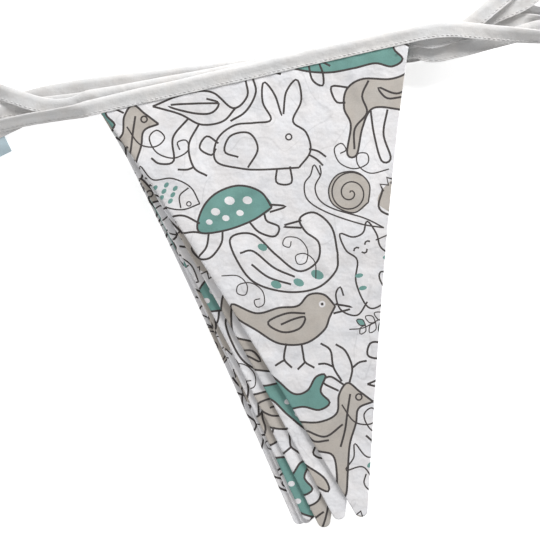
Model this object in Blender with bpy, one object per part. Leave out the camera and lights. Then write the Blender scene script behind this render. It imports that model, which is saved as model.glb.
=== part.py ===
"""A fabric bunting, folded up flag on flag and laid flat.

Six double-sided cotton flags hang on one continuous folded tape. The tape goes back and forth,
so each flag lies on the next one, turned a little further: flag_1 is on top and flag_6 lies on
the surface. The tape is a binding folded over the flags' top edges. Past the flags it closes to
a flat strip, turns back on its edge in soft loops, and ends in two plain ties on the left. A
small bare label is held in the lower tie.

The surface is z = 0. X runs to the right and Y up the page, as the bunting is seen from above.
Places on the page are given in layout steps, X to the right and Y down the page, and at() turns
them into metres. The origin is on the surface under the middle of the whole.
"""

import math

import bpy
import numpy as np

MM = 0.001

# The layout
LAYOUT_STEP = 0.671 * MM
ORIGIN_STEP = (263.9, 246.95)

# Sizes of a flag, made of two layers of cotton turned and pressed as one cloth
FLAG_WIDTH = 210.0 * MM
FLAG_DROP = 301.0 * MM
SEAMS_MEET = 311.0 * MM
TIP_RADIUS = 4.5 * MM
TIP_LEAN = 4.5 * MM
SIDE_BOW = 3.8 * MM
BOW_POWER = 0.75
CLOTH = 1.0 * MM

# Sizes of the tape, which is a binding folded in half
TAPE_WIDTH = 10.5 * MM
TAPE_LEAF = 1.0 * MM
SLIP = 0.3 * MM
CLOSED_SLOT = 0.3 * MM
OPEN_SLOT = CLOTH + 2 * SLIP
LEAD = 6.0 * MM

# Sizes of the label
LABEL_WIDTH = 24.0 * MM
LABEL_DROP = 11.2 * MM
LABEL_TUCKED_IN = 7.0 * MM

# Heights of the middle of each layer
TAPE_PITCH = 2 * TAPE_LEAF + OPEN_SLOT + SLIP
TIP_PITCH = 1.6 * MM
LEVEL_UNTIL = 10.0 * MM
LOW_FROM = 288.0 * MM
FLAT_FROM = 60.0 * MM

# How fine the meshes are. Rows of a flag are in mm down from the tape's lower edge.
ROWS_DOWN = (-9, 0, 14, 34, 58, 84, 110, 136, 162, 188, 214, 238, 260, 278, 290)
TIP_ROWS = 4
TIP_TURN = math.radians(75)
RUN_PIECES = 8
CREASE_ANGLE = math.radians(40)
COLUMNS = 8
LONG_STEP = 26.0 * MM
TURN_STEP = math.radians(24)

# Each flag's place: its left top corner at the tape's lower edge, and how its top edge rises
# Columns: name, corner x, corner y, rise in degrees
FLAGS = (
    ("flag_1", 103.0, 115.0, 12.9),
    ("flag_2", 99.8, 106.0, 10.2),
    ("flag_3", 97.0, 107.0, 8.5),
    ("flag_4", 93.5, 94.0, 6.9),
    ("flag_5", 95.0, 95.0, 6.3),
    ("flag_6", 93.0, 94.0, 5.7),
)

# Soft swells of the cloth, highest on flag_1 and gone on flag_6
# Columns: x, y, reach along in mm, reach across in mm, turned in degrees, height in mm
SWELLS = (
    (150.0, 150.0, 42.0, 15.0, -38.0, 1.5),
    (262.0, 150.0, 60.0, 22.0, -80.0, 1.3),
    (345.0, 190.0, 70.0, 20.0, -78.0, 1.4),
    (250.0, 270.0, 62.0, 17.0, -58.0, 1.6),
    (325.0, 345.0, 66.0, 17.0, -72.0, 1.3),
)

# The tape's course between the flags. Roll turns the fold up from the tape's left-hand side.
# Columns: x, y, height in mm, roll in degrees
TIE_OF_FLAG_1 = (
    (-50.0, 133.0, 10.2, 42.0),
    (-20.0, 129.5, 11.4, 44.0),
    (0.0, 126.5, 13.0, 45.0),
    (30.0, 120.5, 16.2, 45.0),
    (60.0, 116.0, 19.3, 42.0),
    (80.0, 112.6, 21.0, 30.0),
)
TURN_1_TO_2 = (
    (430.0, 33.0, 20.5, 0.0),
    (450.0, 31.6, 19.4, 0.0),
    (472.0, 33.0, 18.0, 2.0),
    (500.0, 35.5, 16.4, 14.0),
    (530.0, 37.8, 14.6, 34.0),
    (556.0, 38.4, 11.4, 55.0),
    (578.0, 33.0, 8.2, 78.0),
    (592.0, 20.0, 6.4, 88.0),
    (595.0, 3.0, 5.8, 90.0),
    (586.0, -14.0, 5.8, 92.0),
    (566.0, -25.0, 6.6, 102.0),
    (543.0, -27.0, 8.8, 128.0),
    (517.0, -13.0, 12.2, 162.0),
    (492.0, 7.0, 13.7, 178.0),
    (470.0, 25.0, 14.7, 180.0),
    (450.0, 36.5, 15.6, 180.0),
    (430.0, 42.5, 16.6, 180.0),
)
TURN_2_TO_3 = (
    (80.0, 104.5, 16.4, 180.0),
    (58.0, 108.0, 14.2, 180.0),
    (33.0, 103.5, 12.9, 180.0),
    (12.0, 96.5, 12.9, 176.0),
    (-6.0, 90.0, 13.3, 152.0),
    (-22.0, 85.0, 14.2, 112.0),
    (-36.0, 86.0, 14.8, 92.0),
    (-44.0, 96.0, 14.8, 90.0),
    (-42.0, 107.0, 14.7, 86.0),
    (-30.0, 113.0, 13.8, 64.0),
    (-14.0, 113.5, 11.6, 26.0),
    (6.0, 111.0, 9.7, 3.0),
    (30.0, 107.5, 9.8, 0.0),
    (58.0, 104.0, 10.9, 0.0),
    (76.0, 101.8, 11.9, 0.0),
)
TURN_3_TO_4 = (
    (428.0, 55.5, 12.6, 0.0),
    (457.0, 50.7, 11.6, 0.0),
    (485.0, 43.6, 10.7, 0.0),
    (513.0, 36.6, 10.1, 0.0),
    (536.0, 29.5, 9.9, 4.0),
    (557.0, 26.0, 9.3, 38.0),
    (572.0, 16.0, 6.4, 80.0),
    (577.0, 3.0, 5.6, 90.0),
    (568.0, -8.0, 5.6, 100.0),
    (553.0, -12.0, 7.4, 140.0),
    (538.0, -7.0, 8.9, 174.0),
    (522.0, 4.0, 8.5, 180.0),
    (496.0, 15.5, 8.2, 180.0),
    (472.0, 27.0, 8.3, 180.0),
    (450.0, 38.0, 8.5, 180.0),
    (428.0, 45.5, 9.0, 180.0),
)
TURN_4_TO_5 = (
    (72.0, 89.5, 8.0, 180.0),
    (50.0, 93.5, 7.8, 180.0),
    (28.0, 99.0, 7.0, 180.0),
    (8.0, 104.0, 6.7, 180.0),
    (-12.0, 107.0, 6.6, 180.0),
    (-32.0, 107.0, 6.3, 179.0),
    (-47.0, 104.0, 6.1, 158.0),
    (-59.0, 105.5, 6.0, 116.0),
    (-67.0, 112.0, 5.7, 92.0),
    (-64.0, 124.0, 5.7, 84.0),
    (-52.0, 130.5, 4.8, 44.0),
    (-38.0, 127.5, 3.8, 2.0),
    (-22.0, 118.0, 3.75, 0.0),
    (-4.0, 108.5, 4.0, 0.0),
    (16.0, 105.5, 4.0, 0.0),
    (36.0, 101.5, 4.1, 0.0),
    (58.0, 96.5, 4.9, 0.0),
    (76.0, 91.5, 5.5, 0.0),
)
TURN_5_TO_6 = (
    (428.0, 49.0, 5.3, 0.0),
    (452.0, 40.5, 4.9, 0.0),
    (478.0, 29.5, 4.7, 0.0),
    (506.0, 22.5, 5.1, 0.0),
    (523.0, 22.0, 5.2, 0.0),
    (535.0, 21.5, 5.3, 38.0),
    (546.0, 18.5, 5.7, 78.0),
    (548.5, 12.5, 5.6, 92.0),
    (540.0, 11.5, 5.2, 120.0),
    (532.0, 13.0, 3.2, 156.0),
    (522.0, 15.5, 1.9, 176.0),
    (509.0, 20.0, 1.5, 180.0),
    (494.0, 25.0, 1.4, 180.0),
    (468.0, 35.0, 1.3, 180.0),
    (446.0, 44.0, 1.3, 180.0),
    (426.0, 50.5, 1.4, 180.0),
)
TIE_OF_FLAG_6 = (
    (70.0, 91.5, 1.4, 180.0),
    (50.0, 101.0, 1.3, 180.0),
    (33.0, 111.5, 1.3, 180.0),
    (17.0, 121.5, 1.4, 180.0),
)
END_OF_TIE_OF_FLAG_6 = ((-50.0, 153.5, 1.3, 180.0),)

# The label's place: name, its left top corner at the tape's lower edge, and how that edge rises
LABEL = ("label", -27.4, 151.8, 26.0)

# Colours
WHITE_COTTON = (0.83, 0.83, 0.84)
WHITE_TAPE = (0.78, 0.78, 0.78)
PALE_BLUE = (0.45, 0.58, 0.63)


def at(x_step, y_step):
    """A place on the page, in metres."""
    return np.array([x_step - ORIGIN_STEP[0], ORIGIN_STEP[1] - y_step]) * LAYOUT_STEP


def eased(value, low, high):
    """0 below low, 1 above high, and a smooth rise between them."""
    share = np.clip((value - low) / (high - low), 0, 1)
    return share * share * (3 - 2 * share)


def turned(degrees):
    """The directions along and down a piece whose top edge rises by this angle."""
    angle = math.radians(degrees)
    along = np.array([math.cos(angle), math.sin(angle)])
    down = np.array([math.sin(angle), -math.cos(angle)])
    return along, down


def cotton(name, colour):
    """A plain woven cloth's material."""
    material = bpy.data.materials.new(name)
    material.use_nodes = True
    shader = material.node_tree.nodes["Principled BSDF"]
    shader.inputs["Base Color"].default_value = (*colour, 1)
    shader.inputs["Roughness"].default_value = 0.9
    shader.inputs["Metallic"].default_value = 0
    return material


def on_bunting(name, mesh, material, bunting):
    """Adds a piece to the scene, carried by the empty at the origin."""
    mesh.materials.append(material)
    piece = bpy.data.objects.new(name, mesh)
    bpy.context.collection.objects.link(piece)
    piece.parent = bunting
    return piece


def cloth_slab(name, grid):
    """A closed mesh of one cloth's thickness about a grid of middle points, rows by columns."""
    rows, columns = grid.shape[:2]
    lift = np.array([0, 0, CLOTH / 2])
    points = np.concatenate([(grid + lift).reshape(-1, 3), (grid - lift).reshape(-1, 3)])
    below = rows * columns
    faces = []
    for row in range(rows - 1):
        for column in range(columns - 1):
            a = row * columns + column
            b, c, d = a + 1, a + columns + 1, a + columns
            faces.append((a, d, c, b))
            faces.append((below + a, below + b, below + c, below + d))
    rim = [column for column in range(columns)]
    rim += [row * columns + columns - 1 for row in range(1, rows)]
    rim += [(rows - 1) * columns + column for column in range(columns - 2, -1, -1)]
    rim += [row * columns for row in range(rows - 2, 0, -1)]
    for a, b in zip(rim, rim[1:] + rim[:1]):
        faces.append((a, b, below + b, below + a))
    mesh = bpy.data.meshes.new(name)
    mesh.from_pydata(points.tolist(), [], faces)
    mesh.shade_smooth()
    mesh.set_sharp_from_angle(angle=CREASE_ANGLE)
    return mesh


def side_bow(down):
    """How far a flag's side bows in at a distance down it, most of all above its middle."""
    share = min(1, max(0, down / FLAG_DROP))
    return SIDE_BOW * math.sin(math.pi * share**BOW_POWER)


def flag_rows():
    """(distance down, half width, lean to the right) of each row of a flag, its tip round."""
    slope = FLAG_WIDTH / 2 / SEAMS_MEET
    half_angle = math.atan(slope)
    centre = FLAG_DROP - TIP_RADIUS
    rounds_from = centre + TIP_RADIUS * math.sin(half_angle)
    edge_at_round = TIP_RADIUS * math.cos(half_angle)
    rows = []
    for down_mm in ROWS_DOWN:
        down = down_mm * MM
        narrowing = (edge_at_round - FLAG_WIDTH / 2) / rounds_from
        rows.append((down, FLAG_WIDTH / 2 + narrowing * down - side_bow(down)))
    for step in range(TIP_ROWS):
        angle = half_angle + (TIP_TURN - half_angle) * step / (TIP_ROWS - 1)
        rows.append((centre + TIP_RADIUS * math.sin(angle), TIP_RADIUS * math.cos(angle)))
    return [(down, half, TIP_LEAN * max(0, down) / FLAG_DROP) for down, half in rows]


def swell(place, down_flag_1):
    """How far the cloth of flag_1 swells up at a place on the page."""
    height = 0
    for x, y, along_mm, across_mm, turned_deg, height_mm in SWELLS:
        along, down = turned(turned_deg)
        offset = place - at(x, y)
        far = (offset @ along / (along_mm * MM)) ** 2 + (offset @ down / (across_mm * MM)) ** 2
        height += height_mm * MM * math.exp(-far)
    return height * eased(down_flag_1, LEVEL_UNTIL, 4 * LEVEL_UNTIL)


def down_on(flag, place):
    """How far down a flag a place on the page is, from the tape's lower edge."""
    _, x, y, rise = flag
    return (place - at(x, y)) @ turned(rise)[1]


def tape_level(number):
    """The height of a flag's middle in the tape, for flag 0 on top to the last one."""
    return TAPE_LEAF + OPEN_SLOT / 2 + TAPE_PITCH * (len(FLAGS) - 1 - number)


def flag_height(number, place):
    """The height of a flag's middle at a place on the page. The last flag soon lies flat."""
    under = len(FLAGS) - 1 - number
    tip_level = CLOTH / 2 + TIP_PITCH * under
    low_from = LOW_FROM if under else FLAT_FROM
    sunk = eased(down_on(FLAGS[number], place), LEVEL_UNTIL, low_from)
    height = tape_level(number) * (1 - sunk) + tip_level * sunk
    return height + swell(place, down_on(FLAGS[0], place)) * under / (len(FLAGS) - 1)


def flag_mesh(number):
    """A flag, with its left top corner at the mesh's own origin and its top edge along X."""
    name, x, y, rise = FLAGS[number]
    along, down = turned(rise)
    grid = []
    for down_by, half, lean in flag_rows():
        row = []
        for across in np.linspace(-half, half, COLUMNS) + lean:
            from_corner = FLAG_WIDTH / 2 + across
            place = at(x, y) + along * from_corner + down * down_by
            row.append((from_corner, -down_by, flag_height(number, place)))
        grid.append(row)
    return cloth_slab(name, np.array(grid))


def label_mesh():
    """The label, with its left top corner at the mesh's own origin and its top edge along X."""
    level = TAPE_LEAF + OPEN_SLOT / 2
    rests_from = LABEL_DROP / 2
    grid = []
    for down_by in (-LABEL_TUCKED_IN, 0, rests_from, LABEL_DROP):
        sunk = eased(down_by, 0, LABEL_DROP)
        height = level * (1 - sunk) + CLOTH / 2 * sunk
        grid.append([(across, -down_by, height) for across in np.linspace(0, LABEL_WIDTH, 3)])
    return cloth_slab(LABEL[0], np.array(grid))


def course(rows):
    """Rows of the tape's course as x, y, z, roll and slot, in metres and radians."""
    return [
        (*at(x, y), height * MM, math.radians(roll), CLOSED_SLOT)
        for x, y, height, roll in rows
    ]


def held_run(x, y, rise, length, level, backwards, pieces=1):
    """The tape's straight course along the edge that it holds, with a short lead at each end."""
    along, down = turned(rise)
    marks = [-LEAD, *np.linspace(0, length, pieces + 1), length + LEAD]
    roll = math.pi if backwards else 0
    rows = []
    for mark in marks:
        place = at(x, y) + along * mark - down * TAPE_WIDTH / 2
        rows.append((*place, level, roll, OPEN_SLOT))
    return rows[::-1] if backwards else rows


def tape_course():
    """All rows of the tape's course, from the tie of flag_1 to the tie of flag_6."""
    between = (TIE_OF_FLAG_1, TURN_1_TO_2, TURN_2_TO_3, TURN_3_TO_4, TURN_4_TO_5, TURN_5_TO_6)
    rows = []
    for number, (_, x, y, rise) in enumerate(FLAGS):
        rows += course(between[number])
        rows += held_run(x, y, rise, FLAG_WIDTH, tape_level(number), number % 2 == 1, RUN_PIECES)
    rows += course(TIE_OF_FLAG_6)
    _, x, y, rise = LABEL
    rows += held_run(x, y, rise, LABEL_WIDTH, TAPE_LEAF + OPEN_SLOT / 2, True)
    rows += course(END_OF_TIE_OF_FLAG_6)
    return np.array(rows)


def smoothed(rows):
    """The same course with more rows, on a smooth curve through the given ones."""
    chords = np.linalg.norm(np.diff(rows[:, :3], axis=0), axis=1)
    slopes = np.gradient(rows, np.concatenate([[0], np.cumsum(chords)]), axis=0)
    fine = [rows[0]]
    for a, b, slope_a, slope_b, chord in zip(rows, rows[1:], slopes, slopes[1:], chords):
        cosine = slope_a[:3] @ slope_b[:3]
        cosine /= np.linalg.norm(slope_a[:3]) * np.linalg.norm(slope_b[:3])
        turn = math.acos(min(1, cosine)) + abs(b[3] - a[3]) / 2
        count = math.ceil(chord / LONG_STEP + turn / TURN_STEP)
        for t in np.arange(1, count + 1) / count:
            fine.append(
                (2 * t**3 - 3 * t**2 + 1) * a
                + (t**3 - 2 * t**2 + t) * chord * slope_a
                + (3 * t**2 - 2 * t**3) * b
                + (t**3 - t**2) * chord * slope_b
            )
    return np.array(fine)


def tape_section(slot):
    """The folded tape's outline, as (towards the fold, towards its face) pairs."""
    half, thick = TAPE_WIDTH / 2, TAPE_LEAF + slot / 2
    inside, gap = half - TAPE_LEAF, slot / 2
    return (
        (-half, -thick),
        (half - thick / 2, -thick),
        (half, -thick / 2),
        (half, thick / 2),
        (half - thick / 2, thick),
        (-half, thick),
        (-half, gap),
        (inside, gap),
        (inside, -gap),
        (-half, -gap),
    )


def tape_mesh():
    """The whole tape, swept along its course."""
    rows = smoothed(tape_course())
    tangents = np.gradient(rows[:, :3], axis=0)
    up = np.array([0, 0, 1])
    points = []
    for (*place, roll, slot), tangent in zip(rows, tangents):
        ahead = tangent / np.linalg.norm(tangent)
        left = np.cross(up, ahead)
        left /= np.linalg.norm(left)
        over = np.cross(ahead, left)
        to_fold = left * math.cos(roll) + over * math.sin(roll)
        to_face = np.cross(ahead, to_fold)
        slot = min(max(slot, CLOSED_SLOT), OPEN_SLOT)
        for fold, face in tape_section(slot):
            points.append(np.array(place) + to_fold * fold + to_face * face)
    ring = len(tape_section(CLOSED_SLOT))
    faces = [tuple(range(ring - 1, -1, -1)), tuple(range(len(points) - ring, len(points)))]
    for row in range(len(rows) - 1):
        for side in range(ring):
            a, b = row * ring + side, row * ring + (side + 1) % ring
            faces.append((a, b, b + ring, a + ring))
    mesh = bpy.data.meshes.new("tape")
    mesh.from_pydata([tuple(point) for point in points], [], faces)
    mesh.shade_smooth()
    mesh.set_sharp_from_angle(angle=CREASE_ANGLE)
    return mesh


def main():
    for old in list(bpy.data.objects):
        bpy.data.objects.remove(old, do_unlink=True)
    bunting = bpy.data.objects.new("bunting", None)
    bpy.context.collection.objects.link(bunting)

    flag_cotton = cotton("flag cotton", WHITE_COTTON)
    for number, (name, x, y, rise) in enumerate(FLAGS):
        flag = on_bunting(name, flag_mesh(number), flag_cotton, bunting)
        flag.location = (*at(x, y), 0)
        flag.rotation_euler.z = math.radians(rise)

    on_bunting("tape", tape_mesh(), cotton("tape cotton", WHITE_TAPE), bunting)

    name, x, y, rise = LABEL
    label = on_bunting(name, label_mesh(), cotton("label ribbon", PALE_BLUE), bunting)
    label.location = (*at(x, y), 0)
    label.rotation_euler.z = math.radians(rise)


main()
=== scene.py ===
"""The looks of a fabric bunting that is folded up flag on flag and laid flat.

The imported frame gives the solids. Each flag is dressed as a thin printed cloth on its solid's own
fall, the tape as a stitched cotton binding on its solid's course, and the label as a bare ribbon.

Places on the page are in layout steps, X to the right and Y down the page, as in the part's
source. Motifs of the print are in millimetres. World places are in metres, with Z up.
"""

import math

import bmesh
import bpy
import numpy as np
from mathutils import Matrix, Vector
from mathutils.geometry import delaunay_2d_cdt


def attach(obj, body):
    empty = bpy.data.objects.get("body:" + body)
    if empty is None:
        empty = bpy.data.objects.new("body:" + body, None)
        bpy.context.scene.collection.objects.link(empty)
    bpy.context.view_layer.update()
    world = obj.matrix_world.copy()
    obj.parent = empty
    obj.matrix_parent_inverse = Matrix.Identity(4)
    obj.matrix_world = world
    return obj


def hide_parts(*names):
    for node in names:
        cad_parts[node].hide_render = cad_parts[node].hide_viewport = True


MM = 0.001

# The layout, as in the part's source
LAYOUT_STEP = 0.671 * MM
ORIGIN_STEP = (263.9, 246.95)
VIEW_CENTRE_STEP = (270.0, 270.0)
VIEW_STEPS = 540

# Sizes of a flag
FLAG_WIDTH = 210.0 * MM
FLAG_DROP = 301.0 * MM
SEAMS_MEET = 311.0 * MM
TIP_RADIUS = 4.5 * MM
TIP_LEAN = 4.5 * MM
SIDE_BOW = 3.8 * MM
BOW_POWER = 0.75
TUCKED_IN = 8.6 * MM
HALF_ANGLE = math.atan(FLAG_WIDTH / 2 / SEAMS_MEET)
TIP_CENTRE = FLAG_DROP - TIP_RADIUS
ROUNDS_FROM = TIP_CENTRE + TIP_RADIUS * math.sin(HALF_ANGLE)
SIDE_TURN = (FLAG_WIDTH / 2 - TIP_RADIUS * math.cos(HALF_ANGLE)) / ROUNDS_FROM

# The dressed flag: its thickness, and the pressed seam inside its sides
CLOTH = 0.8 * MM
EDGE_ROUND = 0.5 * MM
SEAM_BAND = 6.5 * MM
SEAM_RISE = 0.22 * MM
SEAM_STEP = (SEAM_BAND - 1.2 * MM, SEAM_BAND + 0.4 * MM)

# Sizes of the tape
TAPE_WIDTH = 10.5 * MM
TAPE_LEAF = 1.0 * MM
SLIP = 0.3 * MM
CLOTH_OF_SOLID = 1.0 * MM
CLOSED_SLOT = 0.3 * MM
OPEN_SLOT = CLOTH_OF_SOLID + 2 * SLIP
LEAD = 6.0 * MM
TAPE_PITCH = 2 * TAPE_LEAF + OPEN_SLOT + SLIP

# The dressed tape's folded section: leaf and fold, how far it opens, and the relief of its faces
LEAF = 0.55 * MM
FOLD_ROUND = 1.6 * MM
LIP_MM = 0.1
AT_CLOTH_MM = 0.12
OPENS_MM = 0.26
OPENS_MORE_MM = 0.2
RIDGE_MM = 0.38
RIDGE_SWAY_MM = 0.1
RIDGE_MORE_MM = 0.2
RIDGE_AT_MM = 7.4
RIDGE_REACH_MM = 1.9
TROUGH_MM = 0.16
TROUGH_AT_MM = 3.4
TROUGH_REACH_MM = 1.7
SWAY_WAVES_MM = (6.3, 15.1)
PUCKER_MM = 0.11
PUCKER_WAVES_MM = (1.9, 12)
TAPE_PUCKER_SWAY = 1.5
DRAWN_IN_MM = 0.16
DRAWN_IN_REACH_MM = 0.45
WANDER_MM = 0.18
WANDER_WAVES_MM = (11.7, 31)

# Sizes of the label
LABEL_WIDTH = 24.0 * MM
LABEL_DROP = 11.2 * MM
LABEL_TUCKED_IN = 7.0 * MM
LABEL_THICK = 0.5 * MM
LABEL_EDGE = 0.4 * MM
LABEL_EDGE_SHARE = 0.15
LABEL_FLAT_FROM = 0.9
LABEL_WAVE = 0.12 * MM
LABEL_WAVE_MM = 2.3
LABEL_ROWS = 26
LABEL_COLUMNS = 40

# Heights of the flags
TIP_PITCH = 1.6 * MM
LEVEL_UNTIL = 10.0 * MM
LOW_FROM = 288.0 * MM
FLAT_FROM = 60.0 * MM

# Each flag: name, corner x, corner y, rise in degrees
FLAGS = (
    ("flag_1", 103, 115, 12.9),
    ("flag_2", 99.8, 106, 10.2),
    ("flag_3", 97, 107, 8.5),
    ("flag_4", 93.5, 94, 6.9),
    ("flag_5", 95, 95, 6.3),
    ("flag_6", 93, 94, 5.7),
)

# Soft swells, as in the part's source: x, y, reach along and across in mm, turned, height in mm
SWELLS = (
    (150, 150, 42, 15, -38, 1.5),
    (262, 150, 60, 22, -80, 1.3),
    (345, 190, 70, 20, -78, 1.4),
    (250, 270, 62, 17, -58, 1.6),
    (325, 345, 66, 17, -72, 1.3),
)

# The tape's course, as in the part's source: x, y, height in mm, roll in degrees
TIE_OF_FLAG_1 = (
    (-50, 133, 10.2, 42), (-20, 129.5, 11.4, 44), (0, 126.5, 13, 45),
    (30, 120.5, 16.2, 45), (60, 116, 19.3, 42), (80, 112.6, 21, 30),
)
TURN_1_TO_2 = (
    (430, 33, 20.5, 0), (450, 31.6, 19.4, 0), (472, 33, 18, 2),
    (500, 35.5, 16.4, 14), (530, 37.8, 14.6, 34), (556, 38.4, 11.4, 55),
    (578, 33, 8.2, 78), (592, 20, 6.4, 88), (595, 3, 5.8, 90),
    (586, -14, 5.8, 92), (566, -25, 6.6, 102), (543, -27, 8.8, 128),
    (517, -13, 12.2, 162), (492, 7, 13.7, 178), (470, 25, 14.7, 180),
    (450, 36.5, 15.6, 180), (430, 42.5, 16.6, 180),
)
TURN_2_TO_3 = (
    (80, 104.5, 16.4, 180), (58, 108, 14.2, 180), (33, 103.5, 12.9, 180),
    (12, 96.5, 12.9, 176), (-6, 90, 13.3, 152), (-22, 85, 14.2, 112),
    (-36, 86, 14.8, 92), (-44, 96, 14.8, 90), (-42, 107, 14.7, 86),
    (-30, 113, 13.8, 64), (-14, 113.5, 11.6, 26), (6, 111, 9.7, 3),
    (30, 107.5, 9.8, 0), (58, 104, 10.9, 0), (76, 101.8, 11.9, 0),
)
TURN_3_TO_4 = (
    (428, 55.5, 12.6, 0), (457, 50.7, 11.6, 0), (485, 43.6, 10.7, 0),
    (513, 36.6, 10.1, 0), (536, 29.5, 9.9, 4), (557, 26, 9.3, 38),
    (572, 16, 6.4, 80), (577, 3, 5.6, 90), (568, -8, 5.6, 100),
    (553, -12, 7.4, 140), (538, -7, 8.9, 174), (522, 4, 8.5, 180),
    (496, 15.5, 8.2, 180), (472, 27, 8.3, 180), (450, 38, 8.5, 180),
    (428, 45.5, 9, 180),
)
TURN_4_TO_5 = (
    (72, 89.5, 8, 180), (50, 93.5, 7.8, 180), (28, 99, 7, 180),
    (8, 104, 6.7, 180), (-12, 107, 6.6, 180), (-32, 107, 6.3, 179),
    (-47, 104, 6.1, 158), (-59, 105.5, 6, 116), (-67, 112, 5.7, 92),
    (-64, 124, 5.7, 84), (-52, 130.5, 4.8, 44), (-38, 127.5, 3.8, 2),
    (-22, 118, 3.75, 0), (-4, 108.5, 4, 0), (16, 105.5, 4, 0),
    (36, 101.5, 4.1, 0), (58, 96.5, 4.9, 0), (76, 91.5, 5.5, 0),
)
TURN_5_TO_6 = (
    (428, 49, 5.3, 0), (452, 40.5, 4.9, 0), (478, 29.5, 4.7, 0),
    (506, 22.5, 5.1, 0), (523, 22, 5.2, 0), (535, 21.5, 5.3, 38),
    (546, 18.5, 5.7, 78), (548.5, 12.5, 5.6, 92), (540, 11.5, 5.2, 120),
    (532, 13, 3.2, 156), (522, 15.5, 1.9, 176), (509, 20, 1.5, 180),
    (494, 25, 1.4, 180), (468, 35, 1.3, 180), (446, 44, 1.3, 180),
    (426, 50.5, 1.4, 180),
)
TIE_OF_FLAG_6 = (
    (70, 91.5, 1.4, 180), (50, 101, 1.3, 180), (33, 111.5, 1.3, 180),
    (17, 121.5, 1.4, 180),
)
END_OF_TIE_OF_FLAG_6 = ((-50, 153.5, 1.3, 180),)

# The label's left corner at the tape's edge: x, y, rise in degrees
LABEL = (-27.4, 151.8, 26)

# The small puckers of each flag under the tape: height, rise and fade, and their uneven waves
FLAG_PUCKER = 0.21 * MM
PUCKERS_RISE = (0, 3 * MM)
PUCKERS_FADE = (4 * MM, 22 * MM)
PUCKER_WAVE_MM = 2.1
PUCKER_SWAY = 1.4
PUCKER_SWAY_MM = 9
SECOND_PUCKER = 0.6
SECOND_WAVE_MM = 3.7
FLAG_SHIFT_MM = 17

# How far flag_1 dips below the tape, and where the dip and the creases rise and fade
DIP = 1.2 * MM
DIP_RISES = (1 * MM, 24 * MM)
DIP_FADES = (34 * MM, 120 * MM)
CREASES_RISE = (2 * MM, 12 * MM)

# How fine the meshes are
TAPE_STEP = 1.85 * MM
EASE_ROWS = 6
LEAF_AT_MM = (0.0, 0.5, 1.1, 1.5, 1.9, 2.6, 4.6, 6.8, 8.9)
FOLD_POINTS = 7
TAPE_SHARP_FROM = math.radians(60)
LABEL_SHARP_FROM = math.radians(50)
TIP_STEPS = 8
HELD_PIECES = 8
GRID_MM = 2.8
RIM_OFFSETS_MM = (0.0, 0.1, 0.3, 0.7, 1.4)
RIM_STEP_MM = 2.2
GRID_FROM = -TUCKED_IN + 2 * MM
GRID_INSIDE = (RIM_OFFSETS_MM[-1] + 1) * MM
GRID_ROW_SHARE = 0.87
PEN_STEP_MM = 1.5
CURVE_STEPS = 8
BLOB_CORNERS = 12
SAME_POINT_MM = 1e-4
LEAST_TURN_MM2 = 1e-4
LEAK_SHARE = 1.05
LEAK_MM2 = 0.2

# The stitches along the tape's lower edge
STITCH = 2.3 * MM
STITCH_PITCH = 3.2 * MM
STITCH_IN = 1.5 * MM
THREAD_RADIUS = 0.2 * MM
THREAD_FLAT = 1.3
THREAD_SIDES = 6

# One stitch: share of its length, and height and radius as shares of the thread's radius
STITCH_RINGS = ((0, -0.6, 0.5), (0.2, 0.5, 0.9), (0.5, 0.8, 1), (0.8, 0.5, 0.9), (1, -0.6, 0.5))

# The print, in mm: its line, its repeat, and how far from a flag's top middle a motif may lie
COLOURS = ("cloth", "taupe", "teal", "ink")
PEN_WIDTH = 1.12
EYE_RADIUS = 2.1
EYE_INSIDE = 1.2
REPEAT_WIDE = 196.0
REPEAT_HIGH = 212.0
REPEAT_COLUMNS = range(-2, 4)
REPEAT_ROWS = range(-3, 4)
MOTIFS_ASIDE = 150
MOTIFS_ABOVE = 50
MOTIFS_BELOW = 350

# Small creases of flag_1's cloth: x, y, reach along and across in mm, turned, height in mm
CREASES = (
    (128, 132, 16, 3.2, 52, 1.15),
    (150, 128, 12, 2.6, 70, 0.85),
    (176, 122, 20, 3, 96, 0.95),
    (214, 110, 16, 2.8, 84, 0.85),
    (262, 100, 22, 3.4, 104, 0.95),
    (306, 92, 16, 3, 88, 0.85),
    (352, 78, 18, 2.8, 106, 0.95),
    (238, 196, 34, 4.6, 38, 0.95),
    (318, 252, 30, 4.2, 118, 0.95),
    (286, 330, 36, 4.4, 72, 0.95),
    (360, 300, 26, 4, 84, 0.85),
    (338, 410, 40, 4, 66, 0.85),
)

# The finish: colours, and the sizes of the cotton's patches, slubs, tints and weave
CLOTH_WHITE = (0.79, 0.785, 0.8)
TAUPE = (0.5, 0.465, 0.425)
TEAL = (0.165, 0.33, 0.3)
INK = (0.07, 0.062, 0.06)
TAPE_WHITE = (0.66, 0.655, 0.65)
THREAD_WHITE = (0.74, 0.735, 0.73)
PALE_BLUE = (0.55, 0.68, 0.74)
FLOOR_WHITE = (0.85, 0.85, 0.85)
WARM = (1.0, 0.984, 0.972)
COOL = (0.984, 0.99, 1.0)
PATCH_SIZE = 15 * MM
SLUB_SIZE = 0.9 * MM
SLUB_SHARE = 1.3
TINT_SIZE = 13 * MM
GHOST_LINE_SIZE = 34 * MM
GHOST_PATCH_SIZE = 46 * MM
GHOST_PATCH_SHARE = 0.35
WEAVE_SCALE = 0.314159
WEAVE_HEIGHT = 0.05 * MM
CRUMPLE_SLOPE = 9

# The floor, the lights (place, size and watts) and the camera
FLOOR_SIZE = 3.0
FLOOR_DROP = 0.2 * MM
FLOOR_MOTTLE = 0.3
FLOOR_GLOW = 0.6
KEY_LIGHT = ((0.7, 1.7, 0.95), 0.7, 52)
FILL_LIGHT = ((-1.2, -0.9, 0.9), 0.9, 7)
WORLD_STRENGTH = 0.41
CAMERA_HEIGHT = 2.0
SENSOR_MM = 36.0


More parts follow.
